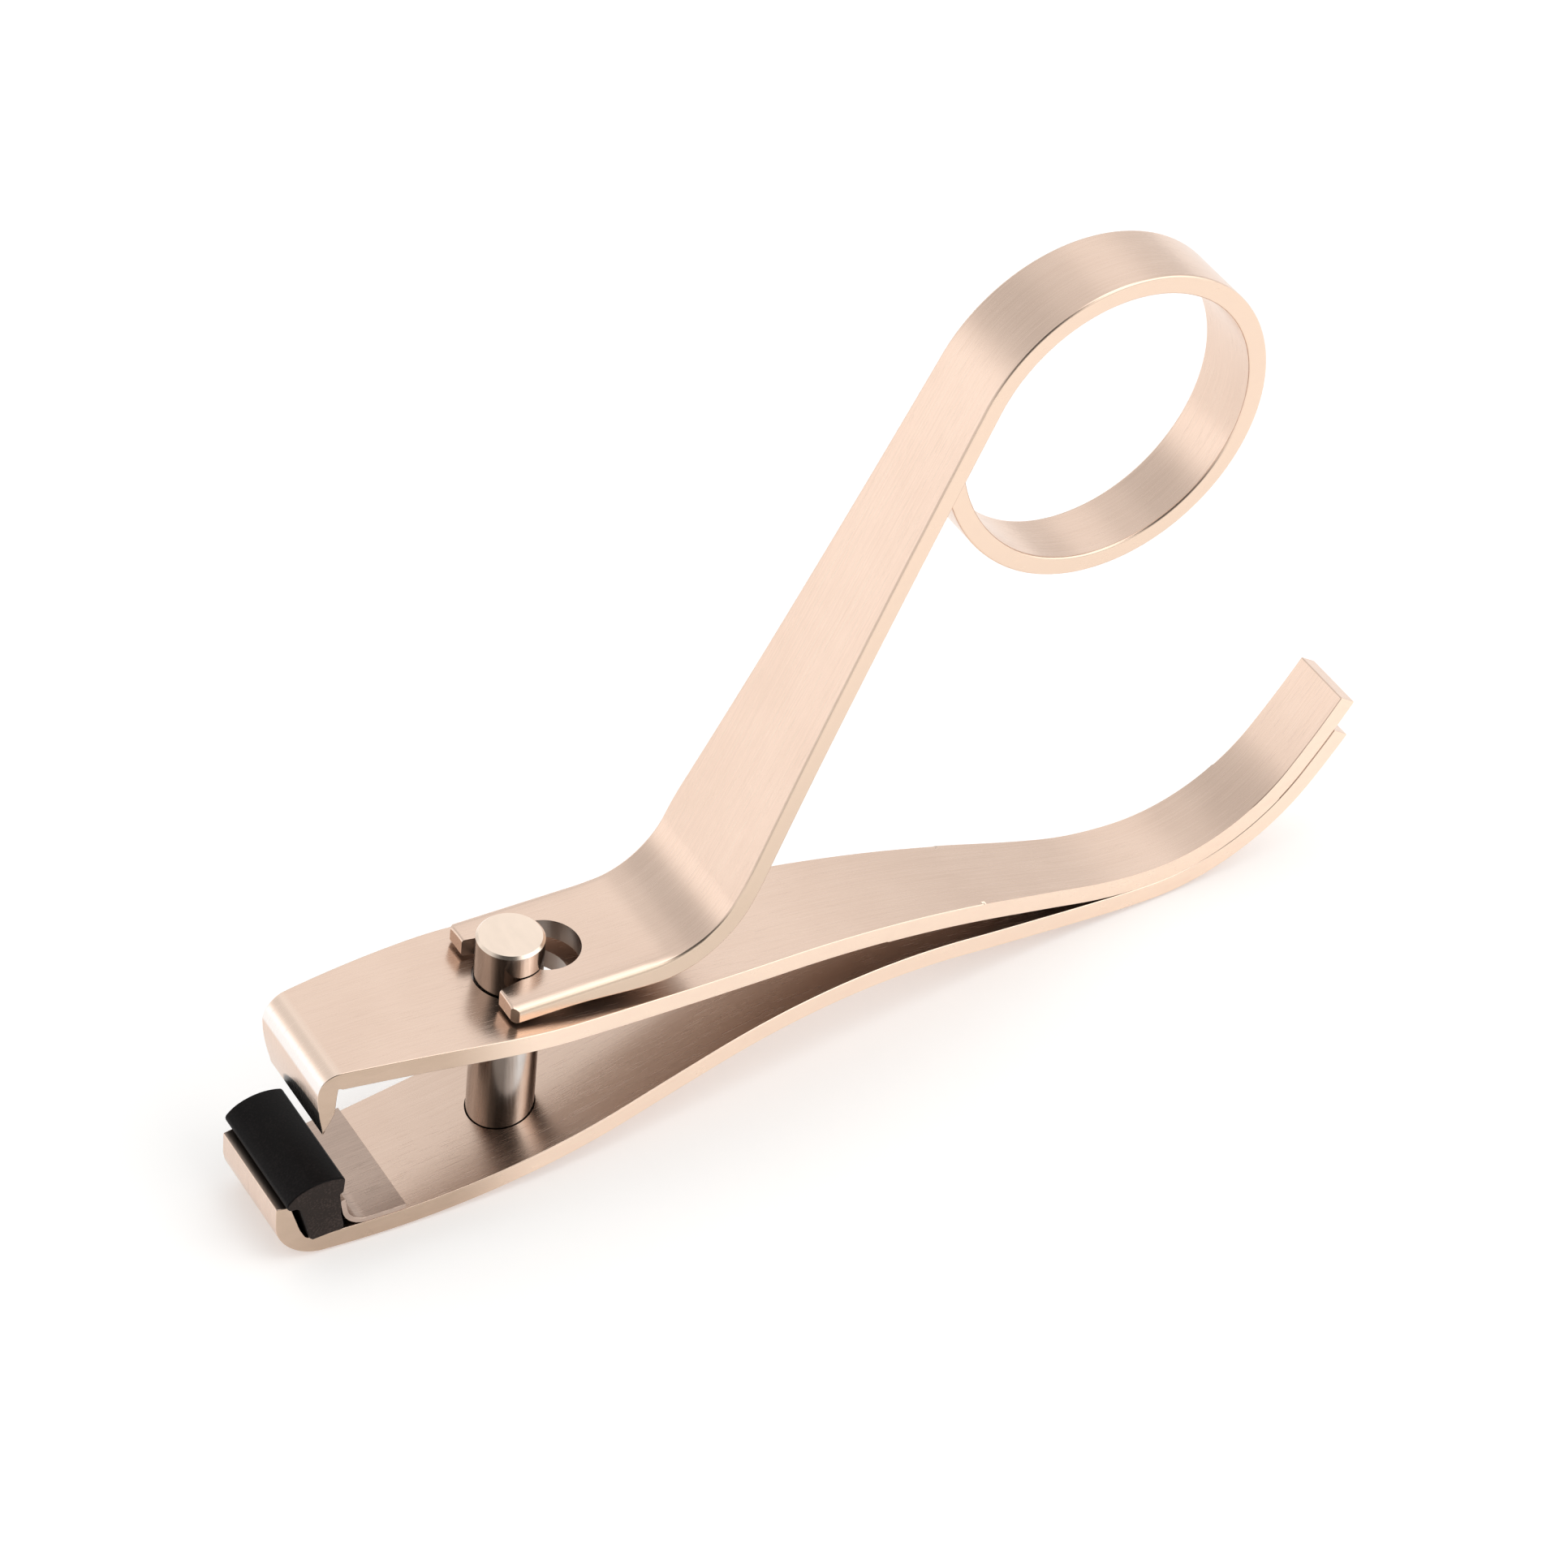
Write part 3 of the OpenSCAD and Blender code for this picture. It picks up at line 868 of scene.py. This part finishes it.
class ClipperPin(Operator):
    """The pin: a turned post with a foot and two notches for the fork"""
    bl_idname = "clipper.pin"
    bl_label = "Pin"

    def execute(self, context):
        p = plan()
        chamfer, foot_low, foot_high = 0.22, -1.5, -0.8
        profile = [(0, foot_low), (p.foot_r - chamfer, foot_low), (p.foot_r, foot_low + chamfer),
                   (p.foot_r, foot_high), (p.pin_r, foot_high), (p.pin_r, p.pin_top - chamfer),
                   (p.pin_r - chamfer, p.pin_top), (0, p.pin_top)]
        bm = bmesh.new()
        verts = [bm.verts.new((r, 0, z)) for r, z in profile]
        edges = [bm.edges.new(pair) for pair in zip(verts, verts[1:])]
        bmesh.ops.spin(bm, geom=verts + edges, cent=(0, 0, 0), axis=(0, 0, 1), dvec=(0, 0, 0),
                       angle=2 * math.pi, steps=ROUND, use_merge=True)
        bmesh.ops.remove_doubles(bm, verts=bm.verts, dist=2e-3)
        bmesh.ops.recalc_face_normals(bm, faces=bm.faces)
        bm.normal_update()
        for face in bm.faces:
            if face.normal.z > 0.3 and face.calc_center_median().z > p.pin_top - 0.5:
                face.material_index = 1
        piece = raw_object("pin_post", bm)
        tints = context.scene.clipper_colours
        # Painted reflections on the pin's side; right, (0.857, -0.515, 0), is the camera's
        # right-hand direction in plan
        paint(piece, pin_reflection_steel("pin steel", tints.pin, tints.pin_bright, tints.pin_dark,
                                  (0.857, -0.515, 0)),
              polished_steel("pin top", tints.pin_top_tint, 0.22))
        back, beyond, low, high = -0.5, 6, NOTCH_FLOOR, p.fork_top + 0.10
        opening = [(back, low), (beyond, low), (beyond, high), (back, high)]

        def notch(side):
            a, b = sorted((side * p.neck_half, side * (p.neck_half + p.pin_r)))
            return lambda c: prism(c, opening, a, b)
        cut(piece, [notch(1), notch(-1)])
        finish_piece(piece)
        add_piece(piece, "pin", ("pin",))
        return {"FINISHED"}


class ClipperLever(Operator):
    """The lever: a forked strip bent up into a shank and rolled into a finger ring"""
    bl_idname = "clipper.lever"
    bl_label = "Lever"

    def execute(self, context):
        p = plan()
        tip_x = FORK_TIP_X
        heel = (p.heel_r * p.heel_turn, math.degrees(p.heel_turn))
        rolled = (p.ring_r * p.ring_turn, -math.degrees(p.ring_turn))
        line = walk((tip_x, p.fork_top, 0), [(p.fork_len, 0), heel, (p.shank_len, 0)])
        ring = walk(line[-1], [rolled] + RING_END, widest=3)
        edge = edge_half(LEVER_EDGE)
        count = len(ring) - 1
        start_half, middle_half, end_half = edge(line[-1][1]), 3.05, 2.38
        pad_start, pad_end = 2, 19

        def half(i, state):
            if i < len(line):
                return edge(state[1])
            share = (i - len(line) + 1) / count
            return (start_half + (middle_half - start_half) * 4 * share * (1 - share)
                    + (end_half - start_half) * (2 * share * share - share))

        def thickness(i, state):
            x = state[0]
            if i >= len(line) or not pad_start < x < pad_end:
                return p.lever_t
            turn = math.radians((x - pad_start) / (pad_end - pad_start) * 180)
            return p.lever_t + p.heel_pad * math.sin(turn) ** 2

        bm = bmesh.new()
        strip(bm, line + ring[1:], thickness, half, p.columns)
        round_edges(bm, 0.26, 4)
        self.ease_rim(bm, p, edge)
        bm.normal_update()
        # Painted shade: the underside of the fork and heel takes the darker steel
        for face in bm.faces:
            if face.normal.z < -0.55 and face.calc_center_median().x < 16:
                face.material_index = 1
        piece = raw_object("lever_strip", bm)
        paint(piece, lever_steel(), painted_shade_steel())
        hole_x, hole_r, slot = 3.15, 2.9, 2.1
        low, high = p.fork_top - 4, p.fork_top + 0.6
        mouth = [(tip_x - 1, -3.35), (-0.2, -2.78), (0.2, -slot), (hole_x, -slot)]
        fork_half, corner = 5.6, 0.5
        nip = [(tip_x - 1, 4), (tip_x, fork_half - corner), (tip_x + corner, fork_half),
               (tip_x + corner, 7), (tip_x - 1, 7)]
        cut(piece, [lambda c: prism(c, mouth + mirrored(mouth), low, high, "Z"),
                    lambda c: drill(c, hole_x, hole_r, low, high),
                    lambda c: prism(c, nip, low, high, "Z"),
                    lambda c: prism(c, mirrored(nip), low, high, "Z")])
        # Painted shade on the walls of the fork's mouth and keyhole
        shade_walls(piece, 1, lambda c, n: -2.2 < c.x < 6.3 and abs(c.y) < 3.3 and abs(n.z) < 0.5)
        finish_piece(piece)
        add_piece(piece, "lever", ("lever",))
        return {"FINISHED"}

    @staticmethod
    def ease_rim(bm, p, edge):
        """Rolls the fork's upper rims down, less and less along the heel"""
        deep, wide, end_x, fading = 0.46, 1.25, 15, 6
        bend_x = p.fork_len + FORK_TIP_X
        for v in bm.verts:
            if v.co.x > end_x:
                continue
            rise = p.heel_r - math.sqrt(p.heel_r ** 2 - max(0.0, v.co.x - bend_x) ** 2)
            inward = edge(v.co.z) - abs(v.co.y)
            if v.co.z > p.fork_top + rise - 0.3 and inward < wide:
                fade = min(1.0, (end_x - v.co.x) / fading)
                v.co.z -= deep * fade * (1 - max(0.0, inward) / wide) ** 2


# ---- the stage -----------------------------------------------------------------------

# The sky's brighter and darker parts: direction, full within and gone beyond (degrees), strength
LOBES = (
    ((0.474, 0.63, 0.618), 2, 20, 0.22),
    ((-0.76, 0.63, 0.13), 4, 24, 0.45),
    ((-0.36, 0.63, 0.69), 3, 22, -0.17),
    ((0.30, -0.12, 0.94), 4, 26, 1.3),
    ((0.80, -0.42, 0.42), 5, 30, 0.8),
    ((0.40, -0.68, 0.61), 5, 24, 0.9),
    ((-0.38, -0.63, 0.66), 12, 46, -0.80),
)


class ClipperStage(Operator):
    """The pale table, the soft light and the camera"""
    bl_idname = "clipper.stage"
    bl_label = "Stage"

    def execute(self, context):
        scene = context.scene
        scene.view_settings.view_transform = "Standard"
        self.table(scene)
        self.light(scene)
        self.camera(scene)
        return {"FINISHED"}

    @staticmethod
    def table(scene):
        bm = bmesh.new()
        bmesh.ops.create_grid(bm, x_segments=1, y_segments=1, size=3.0)
        table = raw_object("table", bm)
        # A hair below the clipper, so that the two share no face
        table.location.z = -0.0002
        material, shader, _, _ = new_material("pale table")
        shader.inputs["Base Color"].default_value = (*scene.clipper_colours.floor, 1)
        shader.inputs["Roughness"].default_value = 0.9
        shader.inputs["Specular IOR Level"].default_value = 0.1
        shader.inputs["Emission Color"].default_value = (1, 1, 1, 1)
        shader.inputs["Emission Strength"].default_value = 0.27
        table.data.materials.append(material)

    @staticmethod
    def light(scene):
        world = bpy.data.worlds.new("studio")
        scene.world = world
        world.use_nodes = True
        tree = world.node_tree
        tree.nodes.clear()
        sky = Wire(tree, tree.nodes.new("ShaderNodeTexCoord").outputs["Generated"])

        strength = 0.87
        for direction, inner, outer, amount in LOBES:
            along = sky.dot(Vector(direction).normalized())
            lobe = along.between(math.cos(math.radians(outer)), math.cos(math.radians(inner)))
            strength = strength + lobe * amount
        background = tree.nodes.new("ShaderNodeBackground")
        background.inputs["Color"].default_value = (1.0, 0.995, 0.985, 1)
        tree.links.new(strength.socket, background.inputs["Strength"])
        output = tree.nodes.new("ShaderNodeOutputWorld")
        tree.links.new(background.outputs[0], output.inputs["Surface"])

    @staticmethod
    def camera(scene):
        data = bpy.data.cameras.new("view")
        camera = bpy.data.objects.new("view", data)
        scene.collection.objects.link(camera)
        data.sensor_width, data.lens = 36.0, 122.96
        data.clip_start, data.clip_end = 0.01, 20.0
        place = Vector((-0.163518, -0.266877, 0.311481))
        azimuth, rise, roll = -31.029, 42.529, 1.552
        camera.matrix_world = (Matrix.Translation(place)
                               @ Matrix.Rotation(math.radians(azimuth), 4, "Z")
                               @ Matrix.Rotation(math.radians(90 - rise), 4, "X")
                               @ Matrix.Rotation(math.radians(roll), 4, "Z"))
        scene.camera = camera


class ClipperPanel(Panel):
    """Lists the clipper's pieces"""
    bl_idname = "VIEW3D_PT_clipper"
    bl_label = "Clipper"
    bl_space_type = "VIEW_3D"
    bl_region_type = "UI"
    bl_category = "Clipper"

    def draw(self, context):
        for operator in PIECES + (ClipperStage,):
            self.layout.operator(operator.bl_idname)
        for group in (context.scene.clipper_sizes, context.scene.clipper_colours):
            box = self.layout.box()
            for key in group.__annotations__:
                box.prop(group, key)


PIECES = (ClipperUpperLeaf, ClipperLowerLeaf, ClipperAnvil, ClipperPin, ClipperLever)
CLASSES = (ClipperSizes, ClipperColours) + PIECES + (ClipperStage, ClipperPanel)


def register():
    for item in CLASSES:
        bpy.utils.register_class(item)
    bpy.types.Scene.clipper_sizes = PointerProperty(type=ClipperSizes)
    bpy.types.Scene.clipper_colours = PointerProperty(type=ClipperColours)


def unregister():
    del bpy.types.Scene.clipper_sizes
    del bpy.types.Scene.clipper_colours
    for item in reversed(CLASSES):
        bpy.utils.unregister_class(item)


def main():
    register()
    for operator in PIECES + (ClipperStage,):
        group, name = operator.bl_idname.split(".")
        getattr(getattr(bpy.ops, group), name)()


if __name__ == "__main__":
    main()
